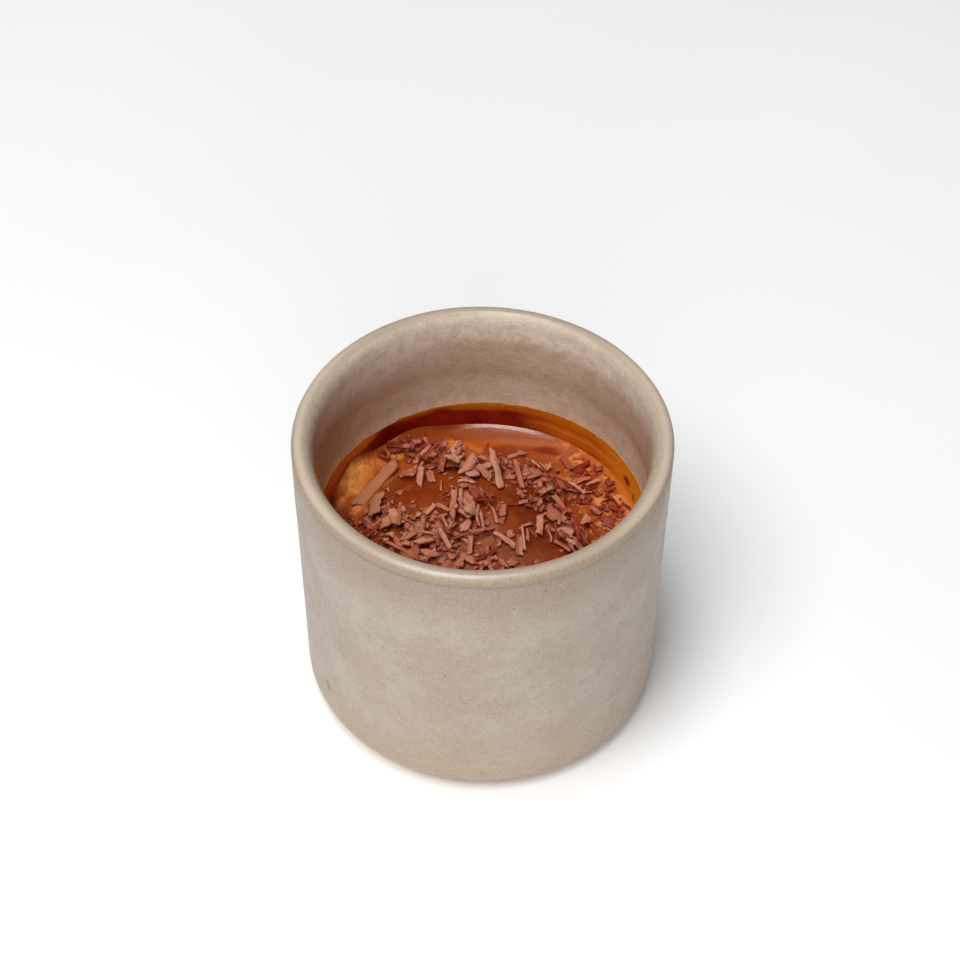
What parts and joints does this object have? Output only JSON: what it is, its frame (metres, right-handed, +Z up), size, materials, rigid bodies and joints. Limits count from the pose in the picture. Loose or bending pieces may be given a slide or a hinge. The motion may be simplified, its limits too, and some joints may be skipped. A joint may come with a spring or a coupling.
{
  "type": "affogato in a cup",
  "caption": "Scoop of ice cream in espresso with chocolate shavings, in a straight-sided speckled stoneware cup without a handle.",
  "frame": {"origin": "centre of the foot, on the surface the cup stands on", "axes": "+Z up along the cup's axis; -Y towards the viewer, +X to the viewer's right"},
  "size_m": [0.08, 0.08, 0.072],
  "materials": {
    "stoneware": "satin",
    "espresso": "gloss",
    "ice_cream": "satin",
    "chocolate": "matte"
  },
  "bodies": {
    "root": {"cup": "stoneware", "espresso": "espresso", "ice_cream": "ice_cream"}
  },
  "joints": []
}
